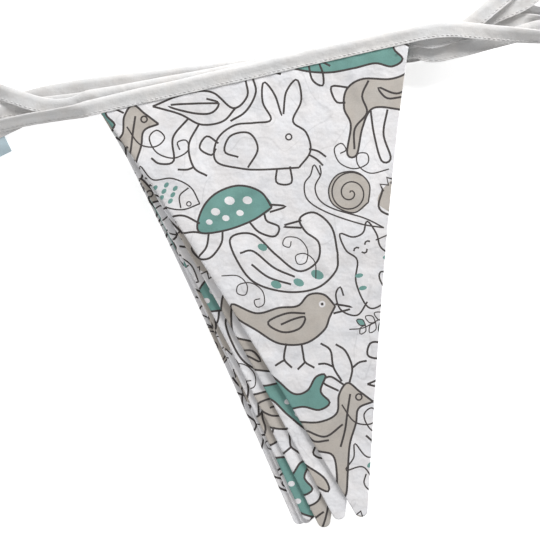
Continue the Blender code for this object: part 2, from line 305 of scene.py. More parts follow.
def at(x_step, y_step):
    """A place on the page, in metres."""
    return np.array([x_step - ORIGIN_STEP[0], ORIGIN_STEP[1] - y_step]) * LAYOUT_STEP


def eased(value, low, high):
    """0 below low, 1 above high, and a smooth rise between them."""
    share = np.clip((value - low) / (high - low), 0, 1)
    return share * share * (3 - 2 * share)


def distances(line):
    """How far along a line of points each of them is."""
    return np.concatenate([[0], np.cumsum(np.linalg.norm(np.diff(line[:, :3], axis=0), axis=1))])


def turned(degrees):
    """The directions along and down a piece whose top edge rises by this angle."""
    angle = math.radians(degrees)
    along = np.array([math.cos(angle), math.sin(angle)])
    down = np.array([math.sin(angle), -math.cos(angle)])
    return along, down


# The cloths' fall


def humps(table, places):
    """The heights of a table of long round humps, at places on the page."""
    height = np.zeros(len(places))
    for x, y, along_mm, across_mm, turned_deg, height_mm in table:
        along, down = turned(turned_deg)
        offset = places - at(x, y)
        far = (offset @ along / (along_mm * MM)) ** 2 + (offset @ down / (across_mm * MM)) ** 2
        height += height_mm * MM * np.exp(-far)
    return height


def down_on(flag, places):
    """How far down a flag places on the page are, from the tape's lower edge."""
    _, x, y, rise = flag
    return (places - at(x, y)) @ turned(rise)[1]


def tape_level(number):
    """The height of a flag's middle in the tape, for flag 0 on top to the last one."""
    return TAPE_LEAF + OPEN_SLOT / 2 + TAPE_PITCH * (len(FLAGS) - 1 - number)


def flag_height(number, places):
    """The heights of a flag's middle at places on the page, on its solid."""
    under = len(FLAGS) - 1 - number
    tip_level = CLOTH_OF_SOLID / 2 + TIP_PITCH * under
    low_from = LOW_FROM if under else FLAT_FROM
    sunk = eased(down_on(FLAGS[number], places), LEVEL_UNTIL, low_from)
    height = tape_level(number) * (1 - sunk) + tip_level * sunk
    swell = humps(SWELLS, places) * eased(down_on(FLAGS[0], places), LEVEL_UNTIL, 4 * LEVEL_UNTIL)
    return height + swell * under / (len(FLAGS) - 1)


def small_relief(number, across, down, places):
    """The small puckers under the tape, and the small creases, of one flag."""
    wave = across / MM + FLAG_SHIFT_MM * number
    pucker = np.sin(wave / PUCKER_WAVE_MM + PUCKER_SWAY * np.sin(wave / PUCKER_SWAY_MM))
    pucker = pucker + SECOND_PUCKER * np.sin(wave / SECOND_WAVE_MM + 2)
    fades = eased(down, *PUCKERS_RISE) * (1 - eased(down, *PUCKERS_FADE))
    relief = FLAG_PUCKER * pucker * fades
    if number == 0:
        relief = relief + humps(CREASES, places) * eased(down, *CREASES_RISE)
        relief -= DIP * eased(down, *DIP_RISES) * (1 - eased(down, *DIP_FADES))
    return relief


# A flag's outline, in metres from the middle of its top edge: across it and down it


def side_bow(down):
    """How far a flag's side bows in at a distance down it, most of all above its middle."""
    return SIDE_BOW * np.sin(math.pi * np.clip(down / FLAG_DROP, 0, 1) ** BOW_POWER)


def edge_gap(across, down):
    """How far inside the flag's outline places on it are."""
    across = np.abs(across - TIP_LEAN * np.maximum(0, down) / FLAG_DROP)
    side = (FLAG_WIDTH / 2 - SIDE_TURN * down - side_bow(down) - across) * math.cos(HALF_ANGLE)
    tip = TIP_RADIUS - np.hypot(across, down - TIP_CENTRE)
    return np.where(down > ROUNDS_FROM, tip, side)


def outline(inset):
    """The flag's outline drawn in by a distance, anticlockwise with the page's up as up."""
    step = RIM_STEP_MM * MM
    radius = TIP_RADIUS - inset
    rounds_from = TIP_CENTRE + radius * math.sin(HALF_ANGLE)
    downs = np.linspace(-TUCKED_IN + inset, rounds_from, int(FLAG_DROP / step))
    halves = FLAG_WIDTH / 2 - SIDE_TURN * downs - side_bow(downs) - inset / math.cos(HALF_ANGLE)
    angles = np.linspace(HALF_ANGLE, math.pi - HALF_ANGLE, TIP_STEPS + 1)[1:-1]
    left = list(zip(-halves, downs))
    tip = [(-radius * math.cos(a), TIP_CENTRE + radius * math.sin(a)) for a in angles]
    right = list(zip(halves, downs))[::-1]
    along_top = np.linspace(halves[0], -halves[0], int(FLAG_WIDTH / step))
    top = [(across, -TUCKED_IN + inset) for across in along_top]
    points = np.array(left + tip + right + top[1:-1])
    points[:, 0] += TIP_LEAN * np.maximum(0, points[:, 1]) / FLAG_DROP
    return points


# The print: a generic design of line drawings. A shape is (colour, polygons), in millimetres.


def smooth_line(points, closed=False):
    """Evenly stepped points on a smooth curve through the given ones (Catmull-Rom)."""
    given = np.array(points, float)
    if closed:
        given = np.vstack([given[-1], given, given[:2]])
    else:
        given = np.vstack([2 * given[0] - given[1], given, 2 * given[-1] - given[-2]])
    fine = []
    for a, b, c, d in zip(given, given[1:], given[2:], given[3:]):
        for t in np.linspace(0, 1, CURVE_STEPS + 1)[:-1]:
            squared, cubed = (2 * a - 5 * b + 4 * c - d) * t**2, (3 * b - a - 3 * c + d) * t**3
            fine.append(0.5 * (2 * b + (c - a) * t + squared + cubed))
    fine.append(given[-2])
    fine = np.array(fine)
    lengths = distances(fine)
    marks = np.linspace(0, lengths[-1], max(4, int(lengths[-1] / PEN_STEP_MM) + 1))
    return np.column_stack([np.interp(marks, lengths, values) for values in fine.T])


def is_convex(polygon):
    """True if an anticlockwise polygon turns left at each of its corners."""
    ahead = np.roll(polygon, -1, axis=0) - polygon
    after = np.roll(ahead, -1, axis=0)
    return bool((ahead[:, 0] * after[:, 1] - ahead[:, 1] * after[:, 0] > LEAST_TURN_MM2).all())


def ribbon(line):
    """The quads of a pen line along points."""
    tangents = np.gradient(line, axis=0)
    tangents /= np.linalg.norm(tangents, axis=1)[:, None]
    sides = np.column_stack([-tangents[:, 1], tangents[:, 0]]) * PEN_WIDTH / 2
    left, right = line + sides, line - sides
    quads = [np.array([right[i], right[i + 1], left[i + 1], left[i]]) for i in range(len(line) - 1)]
    return [quad for quad in quads if is_convex(quad)]


def pen(*points):
    """A pen line through points."""
    return ("ink", ribbon(smooth_line(points)))


def pens(*lines):
    """A pen line for each row of points."""
    return [pen(*points) for points in lines]


def patch(colour, *points):
    """A filled smooth shape through points."""
    return (colour, [smooth_line(points, closed=True)[:-1]])


def blob(colour, x, y, rx, ry=None, turn=0.0):
    """A small filled oval."""
    angles = np.linspace(0, 2 * math.pi, BLOB_CORNERS + 1)[:-1]
    points = np.column_stack([rx * np.cos(angles), (ry or rx) * np.sin(angles)])
    c, s = math.cos(math.radians(turn)), math.sin(math.radians(turn))
    return (colour, [points @ np.array([[c, s], [-s, c]]) + (x, y)])


def eye(colour, x, y):
    """A small ring of the pen's line with a colour inside it."""
    return [blob("ink", x, y, EYE_RADIUS), blob(colour, x, y, EYE_INSIDE)]


def outlined(colour, *points):
    """A filled smooth shape with a pen line round it."""
    return [patch(colour, *points), pen(*points, points[0])]


def whale():
    body = ((-33, -1), (-29, 9), (-17, 15), (-2, 15), (12, 9), (23, 3), (30, 6), (33, 14), (38, 16))
    body += ((37, 7), (43, 2), (38, -3), (29, -3), (18, -8), (4, -13), (-12, -14), (-26, -10))
    shapes = outlined("teal", *body)
    for x, y in ((-20, 9), (-11, 11), (-2, 10), (7, 7), (-15, 4), (-5, 4), (4, 2), (14, 2)):
        shapes.append(blob("cloth", x, y, 1.9, 1.5, 25))
    shapes.append(pen((-32, -3), (-20, -6), (-6, -6), (6, -9)))
    shapes += eye("teal", -23, 2)
    spout = ((-12, 15), (-12, 21), (-17, 25), (-21, 22), (-18, 19), (-14, 22), (-11, 27), (-6, 26))
    return shapes + pens(((-6, -9), (-2, -18), (4, -20), (3, -14), (0, -9)), (*spout, (-6, 22)))


def bird():
    body = ((-22, 8), (-16, 14), (-8, 14), (-2, 8), (8, 7), (20, 4), (33, 9), (31, 2), (20, -5))
    body += ((8, -12), (-6, -12), (-16, -5), (-19, 2))
    shapes = outlined("taupe", *body)
    shapes += pens(
        ((-22, 9), (-31, 7), (-21, 4)),
        ((-6, 4), (4, 4), (14, -1), (6, -6), (-3, -4), (-6, 2), (0, 1), (7, -2)),
    )
    shapes += [blob("cloth", -15, 9, 1.8), blob("ink", -15, 9, 0.8)]
    return shapes + pens(
        ((-4, -12), (-5, -18), (-6, -22), (-11, -25)),
        ((-6, -22), (-4, -24), (-2, -26)),
        ((4, -12), (5, -17), (5, -21), (1, -25)),
        ((5, -21), (7, -22), (10, -24)),
    )


def turtle():
    shell = ((-22, -2), (-19, 8), (-9, 15), (4, 15), (14, 9), (19, -1), (6, -5), (-10, -5))
    shapes = outlined("teal", *shell)
    plates = ((-11, 6, 2.6), (-2, 9, 2.8), (7, 6, 2.5), (-5, 1, 2.0), (3, 1, 2.0), (12, 2, 1.8))
    for x, y, size in plates:
        shapes.append(blob("cloth", x, y, size, size * 0.8, 30))
    shapes.append(pen((17, 3), (24, 10), (32, 11), (35, 6), (30, 2), (22, 0), (18, -2)))
    shapes.append(blob("ink", 30, 7, 0.9))
    return shapes + pens(
        ((14, -3), (18, -10), (24, -14), (18, -16), (10, -11), (7, -5)),
        ((-8, -5), (-11, -12), (-18, -17), (-22, -13), (-17, -8), (-17, -4)),
        ((-21, 0), (-29, -4), (-20, -4)),
    )


def fish():
    body = ((-26, 0), (-15, 9), (0, 11), (13, 4), (24, 11), (22, 0), (25, -10), (13, -4), (0, -10))
    body += ((-15, -9), (-26, 0))
    shapes = pens(body, ((-14, 8), (-10, 0), (-14, -8)))
    for x in (-5, 2, 9):
        for y in (-4, 1, 6):
            if abs(y) + abs(x) < 13:
                shapes.append(blob("teal", x, y, 2.3, 1.5, 70))
    shapes += eye("cloth", -18.5, 3)
    shapes.append(pen((-4, 11), (2, 18), (8, 15), (9, 8)))
    return shapes


def snail():
    spiral = []
    for t in np.linspace(0.4, 4.6 * math.pi, 30):
        spiral.append((2 + 1.15 * t * math.cos(t) * 0.95, 6 + 1.1 * t * math.sin(t)))
    shapes = outlined("taupe", (-13, 4), (-9, 17), (3, 22), (15, 16), (18, 4), (11, -6), (-5, -7))
    return shapes + pens(
        spiral,
        ((-30, -10), (-14, -8), (10, -9), (22, -6), (28, 2), (27, 12), (30, 18)),
        ((27, 11), (34, 17), (34, 9), (36, 1), (30, -9), (14, -13), (-12, -13), (-30, -10)),
    )


def cat():
    body = ((-12, -24), (-16, -8), (-11, 5), (-13, 14), (-12, 24), (-6, 19), (1, 20), (7, 26), (9, 15))
    body += ((6, 6), (14, -6), (15, -24), (2, -26))
    shapes = pens(
        (*body, body[0]),
        ((14, -20), (24, -24), (31, -16), (29, -6), (24, -3), (25, -9)),
        ((-7, 12), (-5, 13.5), (-3, 12)),
        ((1, 12), (3, 13.5), (5, 12)),
        ((-3, 9), (-1, 7), (1, 9)),
        ((-5, -25), (-6, -12), (-3, -8), (0, -12), (0, -25)),
    )
    for x, y in ((-11, -2), (10, -3), (12, -11), (-13, -12)):
        shapes.append(blob("teal", x, y, 2.6, 1.4, 20))
    return shapes


def hedgehog():
    body = ((-24, -8), (-20, 6), (-8, 15), (8, 15), (20, 6), (23, -8), (0, -11))
    back = []
    for step, t in enumerate(np.linspace(0.08, 0.92, 27)):
        reach = 1.0 + (0.16 if step % 2 else 0.0)
        angle = math.pi * t
        back.append((23 * reach * math.cos(angle), -6 + 21 * reach * math.sin(angle)))
    belly = ((-21, 0), (-31, -5), (-35, -9), (-28, -11), (-10, -11), (12, -12), (22, -10), (23, 0))
    shapes = [patch("taupe", *body), ("ink", ribbon(np.array(back)))]
    shapes += [pen(*belly), blob("ink", -26, -5, 0.9)]
    return shapes + pens(
        ((-16, -7), (-9, 0), (-14, 6), (-6, 10), (2, 5), (-1, -3), (6, -6), (13, 0), (9, 8)),
        ((12, -11), (17, -5), (15, 2), (20, 5)),
        ((-12, -11), (-12, -16), (-7, -16), (-7, -11)),
        ((9, -12), (9, -17), (14, -17), (14, -12)),
    )


def sprig():
    shapes = [pen((-4, -34), (0, -18), (-2, 0), (2, 18), (0, 32))]
    for step, y in enumerate((-24, -14, -4, 6, 16)):
        for side in (-1, 1):
            size = 10 - 0.9 * step
            tip = (side * size * 1.1, y + size * 1.1)
            upper, lower = (side * size * 0.2, y + size * 0.8), (side * size * 0.9, y + size * 0.2)
            leaf = ((0, y), upper, tip, lower)
            if (step + side) % 3:
                shapes.append(pen(*leaf, leaf[0]))
            else:
                shapes += outlined("teal", *leaf)
    return shapes


def tendril():
    curl = ((-26, -6), (-14, 4), (-2, 3), (3, -5), (-4, -9), (-8, -2), (0, 7), (13, 8), (22, 0))
    return [pen(*curl, (19, -7), (13, -4), (16, 1))]


def heron():
    shapes = pens(
        ((-34, 20), (-22, 25), (-15, 23), (-16, 14), (-19, 5), (-13, -3), (0, 3), (14, -1), (29, -11)),
        ((29, -11), (14, -12), (2, -15), (-9, -11), (-14, -3)),
        ((-34, 20), (-24, 20), (-19, 17), (-23, 8), (-20, -3), (-13, -10)),
        ((-5, -2), (8, -5), (21, -9), (8, -10), (-2, -8), (-5, -2), (2, -1)),
        ((3, -15), (6, -27), (1, -38), (-7, -41)),
        ((1, -38), (4, -40), (9, -41)),
        ((9, -13), (15, -25), (12, -37), (19, -40), (24, -38)),
    )
    shapes += eye("cloth", -20.5, 21.5)
    return shapes


def deer():
    body = ((-29, 14), (-22, 20), (-16, 25), (-11, 19), (-9, 9), (1, 5), (16, 6), (25, 1), (27, -9))
    body += ((24, -18), (27, -33), (22, -34), (18, -20), (12, -10), (0, -11), (-6, -14), (-7, -25))
    body += ((-6, -35), (-11, -35), (-13, -22), (-15, -8), (-19, 3), (-21, 11))
    shapes = outlined("taupe", *body)
    shapes += pens(
        ((-14, 24), (-7, 29), (-3, 26), (-11, 21)),
        ((-17, 25), (-19, 33), (-16, 42), (-11, 46)),
        ((-27, 36), (-23, 35.5), (-19.4, 33)),
        ((-13, 26), (-9, 34), (-8, 43), (-3, 47)),
        ((-1, 36), (-5, 36), (-9, 34)),
        ((4, -11), (7, -24), (4, -37), (9, -38), (12, -24), (13, -11)),
        ((24, 2), (33, 3), (31, -5), (26, -6)),
        ((13, 5), (17, -3), (15, -12), (22, -20), (23, -31)),
        ((-17, 19), (-15, 10), (-13, 0), (-10, -9)),
    )
    shapes += eye("taupe", -21.5, 17)
    shapes.append(pen((-12, 3), (-2, -3), (8, 1), (4, -5), (-4, -5)))
    return shapes


def rabbit():
    body = ((-20, -15), (-25, -5), (-21, 5), (-13, 10), (-16, 22), (-12, 33), (-7, 25), (-7, 12))
    body += ((-1, 23), (6, 29), (5, 18), (-1, 9), (8, 6), (19, 3), (27, -6), (26, -18))
    body += ((12, -20), (0, -19))
    shapes = pens(
        (*body, body[0]),
        ((26, -8), (33, -5), (36, -12), (29, -15), (27, -11)),
        ((8, -19), (4, -8), (10, 0), (20, -3), (22, -12), (14, -14)),
    )
    shapes += eye("cloth", -12, 1)
    return shapes + pens(
        ((-24, -4), (-29, -4.5), (-34, -7)),
        ((-24, -7), (-29, -9), (-33, -12)),
        ((-15, -15), (-17, -24), (-9, -25), (-8, -17)),
    )


def dolphin():
    body = ((-37, -8), (-31, 2), (-20, 10), (-6, 14), (0, 24), (7, 25), (8, 13), (20, 7), (31, -3))
    body += ((40, -3), (43, -11), (33, -10), (28, -19), (22, -17), (23, -8), (10, 0), (-5, 3), (-9, -7))
    body += ((-16, -10), (-15, 1), (-27, -6))
    shapes = [pen(*body, body[0])]
    for x, y, size in ((-12, 10, 2.2), (-2, 11, 2.6), (9, 8, 2.4), (19, 4, 2.2), (29, -1, 1.8)):
        shapes.append(blob("teal", x, y, size * 1.4, size, -15))
    shapes.append(pen((-34, -5), (-24, 0), (-10, 6), (8, 4), (24, -5)))
    shapes += eye("cloth", -22, 4)
    shapes.append(pen((43, -11), (50, -15), (56, -10), (51, -5), (46, -10), (52, -20)))
    return shapes


def swan():
    body = ((-25, 3), (-22, 17), (-13, 25), (-5, 22), (-8, 15), (-15, 9), (-14, -1), (-4, -6), (8, 3))
    body += ((20, 14), (32, 12), (28, -1), (19, -12), (2, -17), (-14, -15), (-24, -6))
    shapes = pens(
        (*body, body[0]),
        ((-6, 21), (4, 18), (-6, 17)),
        ((-2, -9), (9, -4), (20, 5), (27, 4)),
        ((0, -13), (12, -9), (21, -2)),
    )
    for x, y, size in ((-14, -8, 2.4), (-4, -12, 2.0), (15, 7, 1.8), (8, -13, 2.0)):
        shapes.append(blob("teal", x, y, size * 1.5, size, 25))
    return shapes


# Where the motifs lie in one repeat of the print: motif, x, y, turned in degrees, size, mirrored
REPEAT = (
    (deer, 186, 132, -9, 1.25, True),
    (whale, 146, 169, -24, 1.25, False),
    (bird, 185, 208, -13, 1.25, True),
    (heron, 66, 153, -25, 1.25, True),
    (dolphin, 94, 209, 19, 1.25, True),
    (hedgehog, 189, 54, -29, 1.25, True),
    (rabbit, 97, 120, -21, 1.2, True),
    (turtle, 62, 72, 7, 1.25, True),
    (swan, 94, 36, -12, 1.25, True),
    (cat, 145, 22, 18, 1.05, True),
    (snail, 141, 65, -32, 0.9, True),
    (fish, 24, 99, 146, 0.9, False),
    (sprig, 75, 168, 93, 0.7, True),
    (sprig, 46, 195, 92, 0.7, True),
    (tendril, 102, 38, -60, 0.7, True),
    (tendril, 152, 90, 140, 0.8, False),
    (tendril, 61, 24, -53, 0.7, False),
    (tendril, 26, 131, 153, 0.9, True),
    (tendril, 172, 29, -33, 0.8, False),
)

# How each flag is cut from the print: x, y, turned in degrees
CUTS = (
    (98, 159, 0), (49, 159, 180), (0, 0, 0),
    (49, 106, 180), (98, 53, 0), (0, 106, 180),
)


def place_shape(polygons, x, y, turn, size, mirrored):
    """Polygons of a motif, sized, turned and moved."""
    c, s = math.cos(math.radians(turn)) * size, math.sin(math.radians(turn)) * size
    flip = -1 if mirrored else 1
    placed = []
    for polygon in polygons:
        px, py = polygon[:, 0] * flip, polygon[:, 1]
        placed.append(np.column_stack([x + px * c - py * s, y + px * s + py * c]))
    return placed


def print_of_flag(number):
    """(colour, polygon) pairs of a flag's print, in its drawing order, in mm from its top middle."""
    cut_x, cut_y, cut_turn = CUTS[number]
    c, s = math.cos(math.radians(cut_turn)), math.sin(math.radians(cut_turn))
    drawn = []
    for motif, x, y, turn, size, mirrored in REPEAT:
        shapes = motif()
        for column in REPEAT_COLUMNS:
            for row in REPEAT_ROWS:
                fx = x + column * REPEAT_WIDE - cut_x + (REPEAT_WIDE / 2 if row % 2 else 0)
                fy = y + row * REPEAT_HIGH - cut_y
                fx, fy = fx * c - fy * s, fx * s + fy * c
                if abs(fx) > MOTIFS_ASIDE or not -MOTIFS_BELOW < fy < MOTIFS_ABOVE:
                    continue
                for colour, polygons in shapes:
                    for polygon in place_shape(polygons, fx, fy, turn + cut_turn, size, mirrored):
                        drawn.append((colour, polygon))
    return drawn


def signed_area(polygon):
    """The polygon's area, below zero where its points go clockwise."""
    x, y = polygon[:, 0], polygon[:, 1]
    return np.sum(x * np.roll(y, -1) - np.roll(x, -1) * y) / 2


def anticlockwise(polygon):
    """The polygon with its points in anticlockwise order."""
    return polygon if signed_area(polygon) > 0 else polygon[::-1]


def topmost(tris, origins, flat_mm, areas):
    """Each triangle inside the outline with the last shape drawn over it.

    A shape whose triangles cover more than the shape itself has leaked out, and is left out.
    """
    corners = flat_mm[np.array(tris)]
    sizes = np.abs(np.cross(corners[:, 1] - corners[:, 0], corners[:, 2] - corners[:, 0])) / 2
    covered = np.zeros(len(areas))
    for origin, size in zip(origins, sizes):
        covered[origin] += size
    sound = covered <= LEAK_SHARE * np.array(areas) + LEAK_MM2
    sound[0] = True
    inside = [(tri, origin) for tri, origin in zip(tris, origins) if 0 in origin]
    return [(tri, max(i for i in origin if sound[i])) for tri, origin in inside]


def on_rim(kept, count):
    """True for each point on the mesh's own border, which is on an edge of one triangle alone."""
    uses = {}
    for tri, _ in kept:
        for a, b in zip(tri, tri[1:] + tri[:1]):
            uses[min(a, b), max(a, b)] = uses.get((min(a, b), max(a, b)), 0) + 1
    rim = np.zeros(count, bool)
    for edge, times in uses.items():
        if times == 1:
            rim[list(edge)] = True
    return rim


def flag_cloth(number):
    """One flag: a thin closed cloth with rounded pressed edges, its print cut into both faces."""
    name, corner_x, corner_y, rise = FLAGS[number]
    points, faces, colours, areas = [], [], [], []

    def add_face(polygon, colour):
        start = len(points)
        points.extend(Vector(p) for p in polygon)
        faces.append(list(range(start, len(points))))
        colours.append(colour)
        areas.append(signed_area(polygon))

    edge = outline(0.0) / MM * (1, -1)
    add_face(anticlockwise(edge), 0)
    for colour, polygon in print_of_flag(number):
        across, down = polygon[:, 0] * MM, -polygon[:, 1] * MM
        if edge_gap(across, down).max() > 0 and down.min() < FLAG_DROP and down.max() > -TUCKED_IN:
            add_face(anticlockwise(polygon), COLOURS.index(colour))
    for offset in RIM_OFFSETS_MM[1:]:
        points.extend(Vector(p) for p in outline(offset * MM) / MM * (1, -1))
    xs = np.arange(-FLAG_WIDTH / 2, FLAG_WIDTH / 2, GRID_MM * MM)
    for row, down in enumerate(np.arange(GRID_FROM, FLAG_DROP, GRID_MM * MM * GRID_ROW_SHARE)):
        across = xs + (GRID_MM * MM / 2 if row % 2 else 0)
        inside = across[edge_gap(across, np.full(len(xs), down)) > GRID_INSIDE]
        points.extend(Vector((x / MM, -down / MM)) for x in inside)

    verts, _, tris, _, _, origins = delaunay_2d_cdt(points, [], faces, 1, SAME_POINT_MM, True)
    flat = np.array([tuple(v) for v in verts]) * MM
    kept = topmost(tris, origins, flat / MM, areas)
    across, down = flat[:, 0], -flat[:, 1]
    along_way, down_way = turned(rise)
    from_corner = np.outer(across + FLAG_WIDTH / 2, along_way)
    places = at(corner_x, corner_y) + from_corner + np.outer(down, down_way)
    inset = np.minimum(edge_gap(across, down), down + TUCKED_IN)
    rim = on_rim(kept, len(flat))
    inset[rim] = 0
    round_share = np.clip(inset / EDGE_ROUND, 0, 1)
    thick = CLOTH / 2 + SEAM_RISE * (1 - eased(inset, *SEAM_STEP))
    half = thick * np.sqrt(1 - (1 - round_share) ** 2)
    middle = flag_height(number, places) + small_relief(number, across, down, places)
    top = np.column_stack([places, middle + half])
    under = np.column_stack([places, middle - half])
    count = len(flat)
    below = np.where(rim, np.arange(count), np.arange(count) + count)
    polygons, slots = [], []
    for tri, origin in kept:
        if rim[list(tri)].all():
            continue
        polygons.append(tuple(tri))
        polygons.append(tuple(int(below[i]) for i in reversed(tri)))
        slots += [colours[origin]] * 2
    cloth = piece(name + "_cloth", np.vstack([top, under]).tolist(), polygons, *CLOTH_MATERIALS)
    cloth.data.polygons.foreach_set("material_index", slots)
    drop_loose_points(cloth.data)
    return cloth


def drop_loose_points(mesh):
    """Takes out the points that no face uses."""
    edit = bmesh.new()
    edit.from_mesh(mesh)
    bmesh.ops.delete(edit, geom=[v for v in edit.verts if not v.link_faces], context="VERTS")
    edit.to_mesh(mesh)
    edit.free()


def piece(name, points, faces, *materials):
    """A new smooth piece of the bunting, which rides on its one body."""
    mesh = bpy.data.meshes.new(name)
    mesh.from_pydata(points, [], faces)
    mesh.shade_smooth()
    for material in materials:
        mesh.materials.append(material)
    made = bpy.data.objects.new(name, mesh)
    bpy.context.collection.objects.link(made)
    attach(made, "root")
    return made


# The tape


def course(rows):
    """Rows of the tape's course as x, y, z, roll and slot, in metres and radians."""
    return [(*at(x, y), height * MM, math.radians(roll), CLOSED_SLOT) for x, y, height, roll in rows]


def held_run(x, y, rise, length, level, backwards, pieces):
    """The tape's straight course along the edge that it holds, with a short lead at each end."""
    along, down = turned(rise)
    marks = [-LEAD, *np.linspace(0, length, pieces + 1), length + LEAD]
    roll = math.pi if backwards else 0
    rows = []
    for mark in marks:
        place = at(x, y) + along * mark - down * TAPE_WIDTH / 2
        rows.append((*place, level, roll, OPEN_SLOT))
    return rows[::-1] if backwards else rows


def tape_course():
    """All rows of the tape's course, from the tie of flag_1 to the tie of flag_6."""
    between = (TIE_OF_FLAG_1, TURN_1_TO_2, TURN_2_TO_3, TURN_3_TO_4, TURN_4_TO_5, TURN_5_TO_6)
    rows = []
    for number, (_, x, y, rise) in enumerate(FLAGS):
        rows += course(between[number])
        rows += held_run(x, y, rise, FLAG_WIDTH, tape_level(number), number % 2 == 1, HELD_PIECES)
    rows += course(TIE_OF_FLAG_6)
    x, y, rise = LABEL
    rows += held_run(x, y, rise, LABEL_WIDTH, TAPE_LEAF + OPEN_SLOT / 2, True, 1)
    rows += course(END_OF_TIE_OF_FLAG_6)
    return np.array(rows)


def smoothed(rows, step):
    """The same course with a row at every step, on the smooth curve through the given ones."""
    chords = np.linalg.norm(np.diff(rows[:, :3], axis=0), axis=1)
    slopes = np.gradient(rows, distances(rows), axis=0)
    fine = [rows[0]]
    for a, b, slope_a, slope_b, chord in zip(rows, rows[1:], slopes, slopes[1:], chords):
        count = max(1, math.ceil(chord / step))
        for t in np.arange(1, count + 1) / count:
            fine.append(
                (2 * t**3 - 3 * t**2 + 1) * a
                + (t**3 - 2 * t**2 + t) * chord * slope_a
                + (3 * t**2 - 2 * t**3) * b
                + (t**3 - t**2) * chord * slope_b
            )
    fine = np.array(fine)
    reach = np.arange(-EASE_ROWS, EASE_ROWS + 1)
    weights = np.exp(-2 * (reach / EASE_ROWS) ** 2)
    for column in (2, 4):
        padded = np.pad(fine[:, column], EASE_ROWS, mode="edge")
        fine[:, column] = np.convolve(padded, weights / weights.sum(), mode="valid")
    fine[:, 4] = np.clip(fine[:, 4], CLOSED_SLOT, OPEN_SLOT)
    return fine


def frames(rows):
    """The directions towards the fold and towards the face at each row of the course."""
    ahead = np.gradient(rows[:, :3], axis=0)
    ahead /= np.linalg.norm(ahead, axis=1)[:, None]
    left = np.cross((0, 0, 1), ahead)
    left /= np.linalg.norm(left, axis=1)[:, None]
    over = np.cross(ahead, left)
    roll = rows[:, 3:4]
    to_fold = left * np.cos(roll) + over * np.sin(roll)
    return to_fold, np.cross(ahead, to_fold)


def leaf_level(slot):
    """The height of a leaf's outer face at the tape's lower edge, and how open the slot is."""
    open_share = (slot - CLOSED_SLOT) / (OPEN_SLOT - CLOSED_SLOT)
    return CLOTH / 2 * open_share + AT_CLOTH_MM * MM + LEAF, open_share


def tape_section(slot, mark_mm):
    """The folded tape's outline at a distance along it: towards the fold, and towards its face.

    The leaves are drawn in along the stitches, and soft puckers run from there towards the fold.
    """
    half = TAPE_WIDTH / 2
    at_edge, open_share = leaf_level(slot)
    at_fold = at_edge + (OPENS_MM + OPENS_MORE_MM * open_share) * MM
    start = half - FOLD_ROUND
    outer, inner = [], []
    sway = math.sin(mark_mm / SWAY_WAVES_MM[0]) * math.sin(mark_mm / SWAY_WAVES_MM[1] + 1)
    pucker_sway = TAPE_PUCKER_SWAY * math.sin(mark_mm / PUCKER_WAVES_MM[1])
    for at_mm in LEAF_AT_MM:
        across = -half + at_mm * MM
        share = at_mm / LEAF_AT_MM[-1]
        ridge = math.exp(-(((at_mm - RIDGE_AT_MM) / RIDGE_REACH_MM) ** 2))
        ridge_mm = RIDGE_MM + RIDGE_SWAY_MM * sway + RIDGE_MORE_MM * open_share
        trough = math.exp(-(((at_mm - TROUGH_AT_MM) / TROUGH_REACH_MM) ** 2))
        bow = ridge_mm * MM * ridge - TROUGH_MM * MM * trough
        wave = math.sin(mark_mm / PUCKER_WAVES_MM[0] + pucker_sway + at_mm / 3)
        pucker = PUCKER_MM * MM * wave * (1 - share)
        drawn_in = DRAWN_IN_MM * MM * math.exp(-(((at_mm - STITCH_IN / MM) / DRAWN_IN_REACH_MM) ** 2))
        thick = at_edge + (at_fold - at_edge) * share + bow + pucker - drawn_in
        outer.append((across, thick))
        inner.append((across, thick - LEAF))
    for angle in np.linspace(0, math.pi / 2, FOLD_POINTS)[1:]:
        c, s = math.cos(angle), math.sin(angle)
        outer.append((start + FOLD_ROUND * s, at_fold * c))
        inner.append((start + (FOLD_ROUND - LEAF) * s, (at_fold - LEAF) * c))
    lip = [(-half - LIP_MM * MM, at_edge - LEAF * share) for share in (0.25, 0.75)]
    upper = outer[::-1] + lip + inner
    lower = [(across, -thick) for across, thick in upper[::-1]]
    return np.array(upper + lower[1:-1])


def tape_binding():
    """The whole tape, swept along its course, and its length."""
    rows = smoothed(tape_course(), TAPE_STEP)
    lengths = distances(rows) / MM
    to_fold, to_face = frames(rows)
    rings = []
    for index, row in enumerate(rows):
        section = tape_section(row[4], lengths[index])
        wander = math.sin(lengths[index] / WANDER_WAVES_MM[0])
        wander = WANDER_MM * MM * wander * math.sin(lengths[index] / WANDER_WAVES_MM[1] + 0.5)
        towards_fold = np.outer(section[:, 0] + wander, to_fold[index])
        rings.append(row[:3] + towards_fold + np.outer(section[:, 1], to_face[index]))
    ring = len(rings[0])
    points = np.vstack(rings)
    faces = [tuple(range(ring)), tuple(range(len(points) - 1, len(points) - ring - 1, -1))]
    for row in range(len(rows) - 1):
        for side in range(ring):
            a, b = row * ring + side, row * ring + (side + 1) % ring
            faces.append((b, a, a + ring, b + ring))
    tape = piece("tape_binding", points.tolist(), faces, TAPE_COTTON)
    edit = bmesh.new()
    edit.from_mesh(tape.data)
    bmesh.ops.recalc_face_normals(edit, faces=edit.faces)
    edit.to_mesh(tape.data)
    edit.free()
    tape.data.set_sharp_from_angle(angle=TAPE_SHARP_FROM)
    return tape, float(lengths[-1]) * MM


